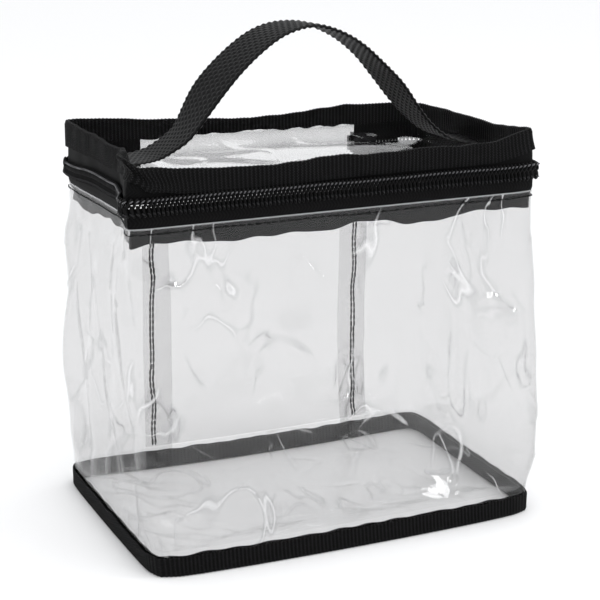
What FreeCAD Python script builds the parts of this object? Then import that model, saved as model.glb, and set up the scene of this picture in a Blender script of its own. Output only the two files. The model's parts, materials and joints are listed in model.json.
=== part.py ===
import FreeCAD, Part
import math
import os
import re
import Sketcher

# A clear soft makeup bag with black ribbon binding, a zip round three sides and a webbing
# handle on its lid. Millimetres. The origin is the middle of the base, on the floor.
# +X is the bag's right, -Y its front and +Z up.
#
# The bag is a rounded box. Each of its sheets is placed by an outset: how far the sheet's
# outer face stands outside the wall's outer face, which is negative for what lies inside.

# Driving sizes, one cell of the sheet each.
SIZES = {
    # the bag
    "bag_width": 165.0,
    "bag_depth": 107.0,
    "rim_height": 158.0,  # floor to the top of the lid's rim
    "corner_radius": 10.0,  # the wall's upright corners, outside
    "sheet_thickness": 0.5,
    # the ribbon folded over the two rims, and thread
    "ribbon_thickness": 0.5,
    "ribbon_reach": 9.5,  # height of the ribbon on each side of a rim
    "stitch_margin": 2.0,  # ribbon's edge to its row of stitches
    "thread_width": 0.6,
    "thread_height": 0.25,
    # the zip
    "tape_thickness": 0.5,
    "tape_reach": 15.0,  # middle of the zip to a tape's far edge
    "tape_gap": 1.4,  # between the two tapes
    "tape_show_below": 6.3,  # middle of the zip to the wall's top edge
    "tape_show_above": 8.6,  # middle of the zip to the lid's ribbon
    "wall_stitch_margin": 2.9,  # wall's top edge to its row of stitches
    "chain_half_width": 3.2,  # middle of the zip to a coil's far edge
    "chain_gap": 0.3,  # between the coils of the closed zip
    "coil_height": 2.0,  # how far the coils stand off the tape
    "coil_stitch_offset": 2.1,  # middle of the zip to a coil's stitches
    "hinge_gap": 1.2,  # between the back panel and the lid's hinge flap
    "step_gap": 0.4,  # between a sheet's edge and the sheet it steps past
    "joint_gap": 0.4,  # between pieces that part when something moves
    # the upright seams in the back
    "seam_offset": 46.0,  # middle of the back to a seam's first row
    "seam_row_gap": 2.2,  # first row of thread to the second
    "seam_lap": 9.0,  # how far the wrapped wall runs past its seam
    "seam_allowance": 3.0,  # how far the back panel runs past the seam
    "stop_length": 1.5,
    "stop_space": 0.2,  # on each side of a zip stop
    # the handle, measured to the middle of the webbing's thickness
    "webbing_width": 24.0,
    "webbing_thickness": 1.5,
    "handle_rise": 51.0,  # lid panel to the handle's highest point
    "handle_top_radius": 32.0,
    "handle_foot_radius": 14.0,
    "handle_foot_span": 61.0,  # middle of the bag to where a foot bends up
    # the slider and its pull
    "slider_length": 11.0,
    "slider_half_width": 4.5,
    "slider_plate": 0.6,
    "slider_play": 0.1,
    "post_width": 0.8,
    "post_length": 3.0,
    "rod_radius": 0.45,
    "bridge_span": 7.4,
    "bridge_foot_length": 1.2,
    "bridge_foot_width": 1.6,
    "eye_play": 0.1,
    "eye_wall": 0.4,
    "eye_length": 4.4,
    "pull_length": 25.0,  # the rod to the pull's tip
    "pull_width": 7.0,
    "pull_thickness": 0.9,
    "pull_hole_radius": 1.4,
}

# Places that follow from the sizes.
RULES = {
    "fold_bottom": "ribbon_thickness",  # inside of the base ribbon's fold
    "fold_top": "rim_height - ribbon_thickness",  # inside of the lid ribbon's fold
    "lid_level": "rim_height - ribbon_reach",  # top of the lid panel
    "chain_level": "lid_level - tape_show_above",  # middle of the zip
    "wall_top": "chain_level - tape_show_below",
    "binding_depth": "2 * ribbon_thickness + 2 * sheet_thickness",
    "side_face": "bag_width / 2",
    "back_face": "bag_depth / 2",
    "corner_line": "back_face - corner_radius",  # where the sides meet the back corners
    "lap_half": "seam_offset - seam_lap",  # middle of the back to the wall's ends
    "back_half": "seam_offset + seam_allowance",  # half width of the back panel
    "tail_start": "back_half + joint_gap",  # middle of the back to the zip's ends
    "stop_start": "tail_start + stop_space",
    "coil_start": "stop_start + stop_length + stop_space",
    "pivot_level": "lid_level + webbing_thickness + joint_gap + webbing_width / 2",
    "slider_start": "coil_start + stop_space",
    "slider_middle": "slider_start + slider_length / 2",
    "slider_face": "back_face + coil_height + slider_play + slider_plate",
    "eye_radius": "rod_radius + eye_play + eye_wall",
    "rod_depth": "slider_face + slider_play + eye_radius",
}

document = FreeCAD.newDocument("makeup_bag")
sheet = document.addObject("Spreadsheet::Sheet", "sizes")
nodes = []


def fill_sheet():
    """Writes every driving size into a cell of its own."""
    for row, (alias, number_of_mm) in enumerate(SIZES.items(), start=1):
        sheet.set(f"A{row}", alias)
        sheet.set(f"B{row}", str(number_of_mm))
        sheet.setAlias(f"B{row}", alias)
    document.recompute()


def formula(rule):
    """Turns a rule in the names above into an expression on the sheet's cells."""

    def swap(match):
        word = match.group()
        if word in RULES:
            return "(" + formula(RULES[word]) + ")"
        return "sizes." + word if word in SIZES else word

    return re.sub("[a-z_]+", swap, rule)


def worth(rule):
    """A rule's value in millimetres now."""
    return float(sheet.evalExpression(formula(rule)))


# ---------------------------------------------------------------- sketches


def new_body(name):
    """Starts a sub-part that is built from sketches."""
    body = document.addObject("PartDesign::Body", name)
    body.Label = name
    nodes.append(body)
    return body


def new_sketch(body, role="XY_Plane", offset="0"):
    """A sketch on one of the body's own planes, moved along that plane's normal."""
    sketch = body.newObject("Sketcher::SketchObject", body.Name + "_sketch")
    plane = [p for p in body.Origin.OriginFeatures if p.Role == role][0]
    sketch.AttachmentSupport = [(plane, "")]
    sketch.MapMode = "FlatFace"
    sketch.setExpression("AttachmentOffset.Base.z", formula(offset))
    return sketch


def hold(sketch, kind, where, rule):
    """Adds a dimension that follows the sheet."""
    index = sketch.addConstraint(Sketcher.Constraint(kind, *where, worth(rule)))
    sketch.setExpression(f"Constraints[{index}]", formula(rule))


def hold_from_origin(sketch, kind, point, rule):
    """Holds a point this far from the origin, on whichever side the rule puts it."""
    if worth(rule) < 0:
        hold(sketch, kind, (*point, -1, 1), f"0 - ({rule})")
    else:
        hold(sketch, kind, (-1, 1, *point), rule)


def join(sketch, kind, pairs):
    """Ties ends of lines and arcs together, as (line, end, line, end)."""
    for pair in pairs:
        sketch.addConstraint(Sketcher.Constraint(kind, *pair))


def segment(sketch, start, end):
    """A straight line, from a guess that the dimensions then settle."""
    points = [FreeCAD.Vector(x, y, 0) for x, y in (start, end)]
    return sketch.addGeometry(Part.LineSegment(*points), False)


def bend(sketch, centre, radius, start_degrees, end_degrees):
    """An arc, anticlockwise, from a guess that the dimensions then settle."""
    circle = Part.Circle(FreeCAD.Vector(*centre, 0), FreeCAD.Vector(0, 0, 1), radius)
    angles = (math.radians(start_degrees), math.radians(end_degrees))
    return sketch.addGeometry(Part.ArcOfCircle(circle, *angles), False)


def draw_rectangle(sketch, left, right, low, high):
    """A rectangle whose four sides are rules."""
    x1, x2, y1, y2 = (worth(rule) for rule in (left, right, low, high))
    corners = [(x1, y1), (x2, y1), (x2, y2), (x1, y2)]
    sides = [segment(sketch, corners[k], corners[(k + 1) % 4]) for k in range(4)]
    join(sketch, "Coincident", [(sides[k], 2, sides[(k + 1) % 4], 1) for k in range(4)])
    join(sketch, "Horizontal", [(sides[0],), (sides[2],)])
    join(sketch, "Vertical", [(sides[1],), (sides[3],)])
    hold_from_origin(sketch, "DistanceX", (sides[0], 1), left)
    hold_from_origin(sketch, "DistanceX", (sides[1], 1), right)
    hold_from_origin(sketch, "DistanceY", (sides[0], 1), low)
    hold_from_origin(sketch, "DistanceY", (sides[2], 1), high)


def draw_outline(sketch, outset):
    """The bag's rounded outline seen from above, moved out by the outset."""
    half = (worth(f"side_face + {outset}"), worth(f"back_face + {outset}"))
    radius = worth(f"corner_radius + {outset}")
    lines = []
    arcs = []
    for quarter in range(4):
        normal = (round(math.cos(quarter * math.pi / 2)), round(math.sin(quarter * math.pi / 2)))
        away, reach = half[quarter % 2], half[1 - quarter % 2] - radius
        ends = []
        for along in (-reach, reach):
            ends.append((normal[0] * away - normal[1] * along, normal[1] * away + normal[0] * along))
        centre = (ends[1][0] - normal[0] * radius, ends[1][1] - normal[1] * radius)
        lines.append(segment(sketch, *ends))
        arcs.append(bend(sketch, centre, radius, 90 * quarter, 90 * quarter + 90))
    for k in range(4):
        tangents = [(lines[k], 2, arcs[k], 1), (arcs[k], 2, lines[(k + 1) % 4], 1)]
        join(sketch, "Tangent", tangents)
        join(sketch, ("Vertical", "Horizontal")[k % 2], [(lines[k],)])
        if k > 0:
            join(sketch, "Equal", [(arcs[0], arcs[k])])
    hold(sketch, "Radius", (arcs[0],), f"corner_radius + {outset}")
    hold(sketch, "DistanceX", (-1, 1, lines[0], 1), f"side_face + {outset}")
    hold(sketch, "DistanceX", (lines[2], 1, -1, 1), f"side_face + {outset}")
    hold(sketch, "DistanceY", (-1, 1, lines[1], 1), f"back_face + {outset}")
    hold(sketch, "DistanceY", (lines[3], 1, -1, 1), f"back_face + {outset}")


# ---------------------------------------------------------------- features


def add_pad(body, sketch, length, both_ways=False):
    """Fills a sketch along its normal, or equally to both sides of it."""
    pad = body.newObject("PartDesign::Pad", body.Name + "_pad")
    pad.Profile = sketch
    pad.setExpression("Length", formula(length))
    if both_ways:
        pad.SideType = "Symmetric"
    body.Tip = pad
    sketch.Visibility = False


def add_pocket(body, sketch, length=None):
    """Cuts a sketch upwards by a length, or right through the body."""
    before = cut_check(body)
    pocket = body.newObject("PartDesign::Pocket", body.Name + "_pocket")
    pocket.Profile = sketch
    if length:
        pocket.Reversed = True
        pocket.setExpression("Length", formula(length))
    else:
        pocket.Type = "ThroughAll"
        pocket.SideType = "Symmetric"
    body.Tip = pocket
    if cut_check(body) > before - 0.01:
        raise RuntimeError(f"a pocket in {body.Label} cuts nothing")


def cut_check(body):
    """The body's volume once everything is up to date."""
    document.recompute()
    return body.Shape.Volume


def band(body, outset, thickness, bottom, top):
    """A ring that follows the bag's outline, inwards from its outset."""
    sketch = new_sketch(body, offset=bottom)
    draw_outline(sketch, outset)
    draw_outline(sketch, f"{outset} - ({thickness})")
    add_pad(body, sketch, f"{top} - ({bottom})")


def groove(body, outset, thickness, bottom, top):
    """Takes a ring that follows the bag's outline out of a body."""
    sketch = new_sketch(body, offset=bottom)
    draw_outline(sketch, outset)
    draw_outline(sketch, f"{outset} - ({thickness})")
    add_pocket(body, sketch, f"{top} - ({bottom})")


def slab(body, outset, bottom, top):
    """A block with the bag's outline."""
    sketch = new_sketch(body, offset=bottom)
    draw_outline(sketch, outset)
    add_pad(body, sketch, f"{top} - ({bottom})")


def hollow(body, outset, bottom, top):
    """Takes a block with the bag's outline out of a body."""
    sketch = new_sketch(body, offset=bottom)
    draw_outline(sketch, outset)
    add_pocket(body, sketch, f"{top} - ({bottom})")


def plate(body, left, right, front, back, bottom, top):
    """Adds a rectangular block to a body."""
    sketch = new_sketch(body, offset=bottom)
    draw_rectangle(sketch, left, right, front, back)
    add_pad(body, sketch, f"{top} - ({bottom})")


def clear_away(body, left, right, front, back):
    """Cuts everything away inside a rectangle seen from above."""
    sketch = new_sketch(body)
    draw_rectangle(sketch, left, right, front, back)
    add_pocket(body, sketch)


def keep_sides_and_front(body, end):
    """Leaves the stretch round the left side, the front and the right side."""
    clear_away(body, "0 - bag_width", "bag_width", end, "bag_depth")


def keep_tail(body, side, start):
    """Leaves one back corner and the straight stretch from it to a distance from the middle."""
    clear_away(body, "0 - bag_width", "bag_width", "0 - bag_depth", "corner_line")
    edges = ("0 - bag_width", start) if side > 0 else (f"0 - ({start})", "bag_width")
    clear_away(body, *edges, "corner_line - 1", "bag_depth")


def open_back(body, half_width):
    """Cuts the middle of the back away from a ring."""
    clear_away(body, f"0 - ({half_width})", half_width, "0", "bag_depth")


def box(name, left, right, front, back, bottom, top):
    """A Part box between six rules."""
    item = document.addObject("Part::Box", name)
    spans = (("Length", "x", left, right), ("Width", "y", front, back), ("Height", "z", bottom, top))
    for side, axis, low, high in spans:
        item.setExpression(side, formula(f"({high}) - ({low})"))
        item.setExpression(f"Placement.Base.{axis}", formula(low))
    return item


def mirrored(side, low, high):
    """A span on the right, or the same span on the left."""
    return (low, high) if side > 0 else (f"0 - ({high})", f"0 - ({low})")


def finish_node(name, item):
    """Makes an object that is built from primitives a sub-part."""
    item.Label = name
    nodes.append(item)


def row_of_thread(name, outset, level):
    """A row of stitches round the outside, as one thin ring."""
    body = new_body(name)
    half = "thread_width / 2"
    band(body, f"{outset} + thread_height", "thread_height", f"{level} - {half}", f"{level} + {half}")
    return body


# ---------------------------------------------------------------- the clear box


def make_wall_wrap_panel():
    """One clear sheet: left side, front and right side, and round onto the back."""
    body = new_body("wall_wrap_panel")
    band(body, "0", "sheet_thickness", "fold_bottom", "wall_top")
    open_back(body, "lap_half")


def make_back_panel():
    """The middle of the back, with a lap behind each end of the wall."""
    body = new_body("back_panel")
    inner_face = "back_face - sheet_thickness"
    top = "chain_level - hinge_gap / 2"
    plate(body, "0 - lap_half", "lap_half", inner_face, "back_face", "fold_bottom", top)
    plate(body, "0 - back_half", "back_half", inner_face, "back_face", "wall_top + step_gap", top)
    for side in (1, -1):
        edges = mirrored(side, "lap_half - sheet_thickness", "back_half")
        depth = (f"{inner_face} - sheet_thickness", inner_face)
        plate(body, *edges, *depth, "ribbon_reach + sheet_thickness", "wall_top + 2 * step_gap")


def make_bottom_panel():
    """The clear floor of the bag, its edge turned down into the base ribbon."""
    body = new_body("bottom_panel")
    slab(body, "0 - sheet_thickness", "fold_bottom", "ribbon_reach + sheet_thickness")
    hollow(body, "0 - 2 * sheet_thickness", "fold_bottom", "ribbon_reach")


def make_back_seam_thread(name, side):
    """Two rows of thread up one seam of the back."""
    half = "thread_width / 2"
    rows = []
    for index, row in enumerate(("seam_offset", "seam_offset - seam_row_gap")):
        edges = mirrored(side, f"{row} - {half}", f"{row} + {half}")
        depth = ("back_face", "back_face + thread_height")
        top = "wall_top - wall_stitch_margin - thread_width"
        rows.append(box(f"{name}_row_{index}", *edges, *depth, "ribbon_reach + thread_width", top))
    seam = document.addObject("Part::Compound", name)
    seam.Links = rows
    finish_node(name, seam)


def make_base_binding():
    """Ribbon folded up round the seam under the walls. The bag stands on its fold."""
    body = new_body("base_binding")
    band(body, "ribbon_thickness", "binding_depth", "0", "ribbon_reach")
    groove(body, "0", "2 * sheet_thickness", "fold_bottom", "ribbon_reach")
    row_of_thread("base_binding_stitching", "ribbon_thickness", "ribbon_reach - stitch_margin")


def make_wall_topstitching():
    """The row of thread that holds the wall's top edge on the zip tape."""
    body = row_of_thread("wall_topstitching", "0", "wall_top - wall_stitch_margin")
    open_back(body, "lap_half")


# ---------------------------------------------------------------- the zip


def make_lower_zip():
    """The half of the zip on the wall: it steps in behind the wall's top edge."""
    body = new_body("zip_tape_lower")
    step = "wall_top + step_gap"
    behind = "0 - sheet_thickness"
    band(body, behind, "tape_thickness", "chain_level - tape_reach", step)
    band(body, "0", "tape_thickness", "wall_top + step_gap / 2", "chain_level - tape_gap / 2")
    open_back(body, "tail_start")
    coil = new_body("zip_coil_lower")
    levels = ("chain_level - chain_half_width", "chain_level - chain_gap / 2")
    band(coil, "coil_height", "coil_height", *levels)
    keep_sides_and_front(coil, "corner_line")
    thread = row_of_thread("zip_coil_stitching_lower", "coil_height", "chain_level - coil_stitch_offset")
    keep_sides_and_front(thread, "corner_line")


def make_upper_zip():
    """The half of the zip on the lid, which opens with it."""
    end = "corner_line - 2 * joint_gap"
    body = new_body("zip_tape_upper")
    band(body, "0", "tape_thickness", "chain_level + tape_gap / 2", "fold_top")
    keep_sides_and_front(body, end)
    coil = new_body("zip_coil_upper")
    levels = ("chain_level + chain_gap / 2", "chain_level + chain_half_width")
    band(coil, "coil_height", "coil_height", *levels)
    keep_sides_and_front(coil, end)
    thread = row_of_thread("zip_coil_stitching_upper", "coil_height", "chain_level + coil_stitch_offset")
    keep_sides_and_front(thread, end)


def make_zip_tail(side, word):
    """The last stretch of the zip, round a back corner: both coils and the upper tape."""
    tape = new_body(f"zip_tail_tape_{word}")
    top = "lid_level - sheet_thickness - joint_gap"
    band(tape, "0", "tape_thickness", "chain_level + tape_gap / 2", top)
    keep_tail(tape, side, "tail_start")
    # the corner's outer part stays clear of the lid's tape, which swings past it
    outside = mirrored(side, "side_face - tape_thickness - joint_gap", "bag_width")
    clear_away(tape, *outside, "0", "bag_depth")
    inner, outer = "tape_gap / 2", "chain_half_width"
    for half, bottom, top in (
        ("upper", f"chain_level + {inner}", f"chain_level + {outer}"),
        ("lower", f"chain_level - {outer}", f"chain_level - {inner}"),
    ):
        coil = new_body(f"zip_tail_coil_{half}_{word}")
        band(coil, "coil_height", "coil_height", bottom, top)
        keep_tail(coil, side, "coil_start")
    edges = mirrored(side, "stop_start", "stop_start + stop_length")
    depth = ("back_face", "back_face + coil_height")
    heights = ("chain_level - chain_half_width", "chain_level + chain_half_width")
    finish_node(f"zip_stop_{word}", box(f"zip_stop_{word}", *edges, *depth, *heights))


def make_slider():
    """Two plates on a post, round the coils of the right tail, with a bridge for the pull."""
    ends = ("slider_start", "slider_start + slider_length")
    low, high = "chain_level - slider_half_width", "chain_level + slider_half_width"
    inner_face = "back_face - tape_thickness - slider_play"
    outer_plate = ("slider_face - slider_plate", "slider_face")
    inner_plate = (f"{inner_face} - slider_plate", inner_face)
    rim = "chain_half_width + slider_play"
    rims = ("back_face + slider_play", "slider_face - slider_plate")
    pieces = [
        box("slider_outer_plate", *ends, *outer_plate, low, high),
        box("slider_inner_plate", *ends, *inner_plate, low, high),
        box("slider_lower_rim", *ends, *rims, low, f"chain_level - ({rim})"),
        box("slider_upper_rim", *ends, *rims, f"chain_level + {rim}", high),
    ]
    post_ends = ("slider_start", "slider_start + post_length")
    post_levels = ("chain_level - post_width / 2", "chain_level + post_width / 2")
    pieces.append(box("slider_post", *post_ends, inner_face, rims[1], *post_levels))
    foot_levels = ("chain_level - bridge_foot_width / 2", "chain_level + bridge_foot_width / 2")
    first_foot = "slider_middle - bridge_span / 2"
    last_foot = "slider_middle + bridge_span / 2 - bridge_foot_length"
    for index, foot in enumerate((first_foot, last_foot)):
        foot_ends = (foot, f"{foot} + bridge_foot_length")
        depth = ("slider_face", "rod_depth + rod_radius")
        pieces.append(box(f"bridge_foot_{index}", *foot_ends, *depth, *foot_levels))
    rod_start = f"{first_foot} + bridge_foot_length / 2"
    pieces.append(rod("bridge_rod", "rod_radius", rod_start, "bridge_span - bridge_foot_length"))
    slider = document.addObject("Part::MultiFuse", "slider_body")
    slider.Shapes = pieces
    finish_node("slider_body", slider)


def rod(name, radius, start, length):
    """A cylinder along the bridge's rod."""
    item = document.addObject("Part::Cylinder", name)
    item.Placement = FreeCAD.Placement(
        FreeCAD.Vector(), FreeCAD.Rotation(FreeCAD.Vector(0, 1, 0), 90)
    )
    item.setExpression("Radius", formula(radius))
    item.setExpression("Height", formula(length))
    for axis, rule in (("x", start), ("y", "rod_depth"), ("z", "chain_level")):
        item.setExpression(f"Placement.Base.{axis}", formula(rule))
    return item


def make_puller_tab():
    """A flat pull that hangs from the bridge by an eye rolled round its rod."""
    leaf = document.addObject("PartDesign::Body", "pull_leaf")
    sketch = new_sketch(leaf, "XZ_Plane", "0 - rod_depth")
    middle, level = worth("slider_middle"), worth("chain_level")
    half_eye, tip_radius = worth("eye_length / 2"), worth("pull_width / 2")
    tip_level = worth("chain_level - pull_length + pull_width / 2")
    top = segment(sketch, (middle + half_eye, level), (middle - half_eye, level))
    left = segment(sketch, (middle - half_eye, level), (middle - tip_radius, tip_level))
    tip = bend(sketch, (middle, tip_level), tip_radius, 180, 360)
    right = segment(sketch, (middle + tip_radius, tip_level), (middle + half_eye, level))
    hole = sketch.addGeometry(
        Part.Circle(FreeCAD.Vector(middle, tip_level, 0), FreeCAD.Vector(0, 0, 1), tip_radius / 2), False
    )
    join(sketch, "Coincident", [(top, 2, left, 1), (right, 2, top, 1), (hole, 3, tip, 3)])
    join(sketch, "Tangent", [(left, 2, tip, 1), (tip, 2, right, 1)])
    join(sketch, "Horizontal", [(top,)])
    hold(sketch, "DistanceX", (-1, 1, top, 2), "slider_middle - eye_length / 2")
    hold(sketch, "DistanceX", (-1, 1, top, 1), "slider_middle + eye_length / 2")
    hold(sketch, "DistanceY", (-1, 1, top, 1), "chain_level")
    hold(sketch, "DistanceX", (-1, 1, tip, 3), "slider_middle")
    hold(sketch, "DistanceY", (-1, 1, tip, 3), "chain_level - pull_length + pull_width / 2")
    hold(sketch, "Radius", (tip,), "pull_width / 2")
    hold(sketch, "Radius", (hole,), "pull_hole_radius")
    add_pad(leaf, sketch, "pull_thickness", both_ways=True)
    eye = rod("pull_eye", "eye_radius", "slider_middle - eye_length / 2", "eye_length")
    joined = document.addObject("Part::Fuse", "pull_joined")
    joined.Base = leaf
    joined.Tool = eye
    bore = rod("pull_bore", "rod_radius + eye_play", "slider_middle - eye_length", "2 * eye_length")
    pull = document.addObject("Part::Cut", "puller_tab")
    pull.Base = joined
    pull.Tool = bore
    finish_node("puller_tab", pull)


# ---------------------------------------------------------------- the lid and the handle


def make_lid():
    """The clear lid panel, turned up into the ribbon that stands round it, and its hinge."""
    panel = new_body("lid_panel")
    slab(panel, "0 - sheet_thickness", "lid_level - sheet_thickness", "fold_top")
    hollow(panel, "0 - 2 * sheet_thickness", "lid_level", "fold_top")
    ribbon = new_body("lid_binding")
    band(ribbon, "ribbon_thickness", "binding_depth", "lid_level", "rim_height")
    groove(ribbon, "0", "2 * sheet_thickness", "lid_level", "fold_top")
    row_of_thread("lid_binding_stitching", "ribbon_thickness", "lid_level + stitch_margin")
    flap = new_body("lid_hinge_flap")
    depth = ("back_face - sheet_thickness", "back_face")
    plate(flap, "0 - back_half", "back_half", *depth, "chain_level + hinge_gap / 2", "fold_top")


def make_handle_end(name, side):
    """The stretch of the webbing that lies on the lid and is sewn into its rim."""
    rim_inside = "side_face + ribbon_thickness - binding_depth"
    edges = mirrored(side, "handle_foot_span", rim_inside)
    depth = ("0 - webbing_width / 2", "webbing_width / 2")
    finish_node(name, box(name, *edges, *depth, "lid_level", "lid_level + webbing_thickness"))


def make_handle_strap():
    """The arch of webbing. Its feet are rounded about the axis that it swings on."""
    body = new_body("handle_strap")
    path = new_sketch(body, "XZ_Plane")
    foot_radius, top_radius = worth("handle_foot_radius"), worth("handle_top_radius")
    foot_span = worth("handle_foot_span")
    start_level = worth("lid_level + webbing_thickness / 2")
    foot_level = start_level + foot_radius
    top_level = worth("lid_level + handle_rise - webbing_thickness / 2") - top_radius
    between = math.hypot(foot_span, top_level - foot_level)
    slope = math.atan2(top_level - foot_level, foot_span)
    slope += math.asin((foot_radius + top_radius) / between)
    angle = math.degrees(slope)
    foot_end = (foot_span - foot_radius * math.sin(slope), foot_level - foot_radius * math.cos(slope))
    top_end = (top_radius * math.sin(slope), top_level + top_radius * math.cos(slope))
    left_foot = bend(path, (-foot_span, foot_level), foot_radius, 270, 270 + angle)
    left_leg = segment(path, (-foot_end[0], foot_end[1]), (-top_end[0], top_end[1]))
    top = bend(path, (0, top_level), top_radius, 90 - angle, 90 + angle)
    right_leg = segment(path, top_end, foot_end)
    right_foot = bend(path, (foot_span, foot_level), foot_radius, 270 - angle, 270)
    tangents = [
        (left_foot, 2, left_leg, 1),
        (left_leg, 2, top, 2),
        (top, 1, right_leg, 1),
        (right_leg, 2, right_foot, 1),
    ]
    join(path, "Tangent", tangents)
    hold(path, "Radius", (left_foot,), "handle_foot_radius")
    hold(path, "Radius", (right_foot,), "handle_foot_radius")
    hold(path, "Radius", (top,), "handle_top_radius")
    hold(path, "DistanceX", (left_foot, 3, -1, 1), "handle_foot_span")
    hold(path, "DistanceX", (-1, 1, right_foot, 3), "handle_foot_span")
    hold(path, "DistanceX", (left_foot, 1, -1, 1), "handle_foot_span")
    hold(path, "DistanceX", (-1, 1, right_foot, 2), "handle_foot_span")
    foot_rule = "lid_level + webbing_thickness / 2 + handle_foot_radius"
    hold(path, "DistanceY", (-1, 1, left_foot, 3), foot_rule)
    hold(path, "DistanceY", (-1, 1, right_foot, 3), foot_rule)
    join(path, "PointOnObject", [(top, 3, -2)])
    top_rule = "lid_level + handle_rise - webbing_thickness / 2 - handle_top_radius"
    hold(path, "DistanceY", (-1, 1, top, 3), top_rule)

    section = new_sketch(body, "YZ_Plane", "0 - handle_foot_span")
    width = ("0 - webbing_width / 2", "webbing_width / 2")
    draw_rectangle(section, *width, "lid_level", "lid_level + webbing_thickness")
    webbing = body.newObject("PartDesign::AdditivePipe", "webbing_sweep")
    webbing.Profile = section
    webbing.Spine = path
    body.Tip = webbing

    trim = new_sketch(body, "YZ_Plane")
    half, low = worth("webbing_width / 2"), worth("lid_level - webbing_width / 2")
    level = worth("pivot_level")
    outside = 2 * half
    corners = [(-half, level), (-outside, level), (-outside, low), (outside, low), (outside, level)]
    corners.append((half, level))
    sides = [segment(trim, corners[k], corners[k + 1]) for k in range(5)]
    round_end = bend(trim, (0, level), half, 180, 360)
    join(trim, "Coincident", [(sides[k], 2, sides[k + 1], 1) for k in range(4)])
    join(trim, "Coincident", [(sides[4], 2, round_end, 2), (round_end, 1, sides[0], 1)])
    join(trim, "Horizontal", [(sides[0],), (sides[2],), (sides[4],)])
    join(trim, "Vertical", [(sides[1],), (sides[3],)])
    join(trim, "PointOnObject", [(round_end, 3, -2)])
    hold(trim, "Radius", (round_end,), "webbing_width / 2")
    hold(trim, "DistanceY", (-1, 1, round_end, 3), "pivot_level")
    hold(trim, "DistanceY", (-1, 1, sides[0], 1), "pivot_level")
    hold(trim, "DistanceY", (-1, 1, sides[2], 1), "lid_level - webbing_width / 2")
    hold(trim, "DistanceX", (sides[1], 1, -1, 1), "webbing_width")
    hold(trim, "DistanceX", (-1, 1, sides[3], 1), "webbing_width")
    add_pocket(body, trim)


# ---------------------------------------------------------------- build and write


def check_document():
    """Stops before anything is written if an object failed or a shape is bad."""
    for item in document.Objects:
        if "Invalid" in item.State or "Error" in item.State:
            raise RuntimeError(f"{item.Label} failed: {item.State}")
    for node in nodes:
        if node.Shape.isNull() or not node.Shape.isValid() or not node.Shape.Solids:
            raise RuntimeError(f"{node.Label} has no valid solid")


def write_parts():
    """Writes one STEP file for each sub-part."""
    os.makedirs("parts", exist_ok=True)
    for node in nodes:
        node.Shape.exportStep(f"parts/{node.Label}.step")
        print(f"{node.Label}: {len(node.Shape.Solids)} solid(s), {node.Shape.Volume:.1f} mm3")


fill_sheet()
make_wall_wrap_panel()
make_back_panel()
make_bottom_panel()
make_back_seam_thread("back_seam_thread_left", -1)
make_back_seam_thread("back_seam_thread_right", 1)
make_base_binding()
make_wall_topstitching()
make_lower_zip()
make_zip_tail(-1, "left")
make_zip_tail(1, "right")
make_upper_zip()
make_lid()
make_handle_end("handle_end_left", -1)
make_handle_end("handle_end_right", 1)
make_handle_strap()
make_slider()
make_puller_tab()
document.recompute()
check_document()
write_parts()
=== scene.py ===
# %% [markdown]
# # A clear makeup bag
# The bag is a soft box of clear vinyl sheet. Black ribbed ribbon binds its two rims, a nylon
# zip runs round three sides under the lid, and a webbing handle stands on the lid.
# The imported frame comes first: it holds the true sizes and the bodies that move, and every
# piece made here is sewn round it. Lengths are metres.

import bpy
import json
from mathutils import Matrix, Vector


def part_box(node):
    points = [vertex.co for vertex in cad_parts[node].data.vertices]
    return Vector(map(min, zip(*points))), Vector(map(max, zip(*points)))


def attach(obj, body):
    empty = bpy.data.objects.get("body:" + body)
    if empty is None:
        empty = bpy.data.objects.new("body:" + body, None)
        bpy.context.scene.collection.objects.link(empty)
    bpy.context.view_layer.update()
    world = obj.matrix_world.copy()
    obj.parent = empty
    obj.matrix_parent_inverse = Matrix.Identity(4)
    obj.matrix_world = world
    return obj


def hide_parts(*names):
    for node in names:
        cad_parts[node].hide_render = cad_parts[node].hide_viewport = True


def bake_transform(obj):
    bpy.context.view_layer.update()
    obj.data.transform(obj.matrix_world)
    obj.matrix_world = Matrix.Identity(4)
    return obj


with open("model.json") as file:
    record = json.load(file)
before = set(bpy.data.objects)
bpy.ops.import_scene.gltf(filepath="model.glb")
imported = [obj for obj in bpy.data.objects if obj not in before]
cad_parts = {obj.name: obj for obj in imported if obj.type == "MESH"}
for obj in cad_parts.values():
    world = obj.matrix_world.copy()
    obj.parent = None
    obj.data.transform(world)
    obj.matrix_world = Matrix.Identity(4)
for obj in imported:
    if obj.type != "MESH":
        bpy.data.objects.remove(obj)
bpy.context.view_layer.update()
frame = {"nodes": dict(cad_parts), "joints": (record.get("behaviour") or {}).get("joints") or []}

import json
import math

import bpy
import numpy as np
from mathutils import Matrix, Vector

mm = 0.001

# %% [markdown]
# ## The bag's own sizes
# On the real bag every strip is sewn to the same rounded box. The sizes are read from the
# frame's nodes, so a changed frame changes every piece with it.

# %% Read the sizes
wall_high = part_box("wall_wrap_panel")[1]
half_width, half_depth = wall_high.x, wall_high.y
wall_top = wall_high.z
lid_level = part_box("lid_binding")[0].z
rim_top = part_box("lid_binding")[1].z
hinge = Vector(next(j["pos_m"] for j in frame["joints"] if j["name"] == "lid_hinge"))
chain = hinge.z
corner = 10 * mm  # radius of the box's corners
sheet_thick = 0.5 * mm
gap = 0.05 * mm  # keeps two sheets that lie on each other apart
vinyl_thick = sheet_thick - gap
front_half = half_width - corner
arc = math.pi / 2 * corner
side_run = 2 * (half_depth - corner)
half_round = 2 * front_half + 2 * arc + side_run
corner_run = half_round - front_half  # where the straight of the back begins
side_end = corner_run - arc  # where the sides meet the back corners
print("half of the way round:", round(half_round, 4), "zip at", round(chain, 4),
      "wall top", round(wall_top, 4))

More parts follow.
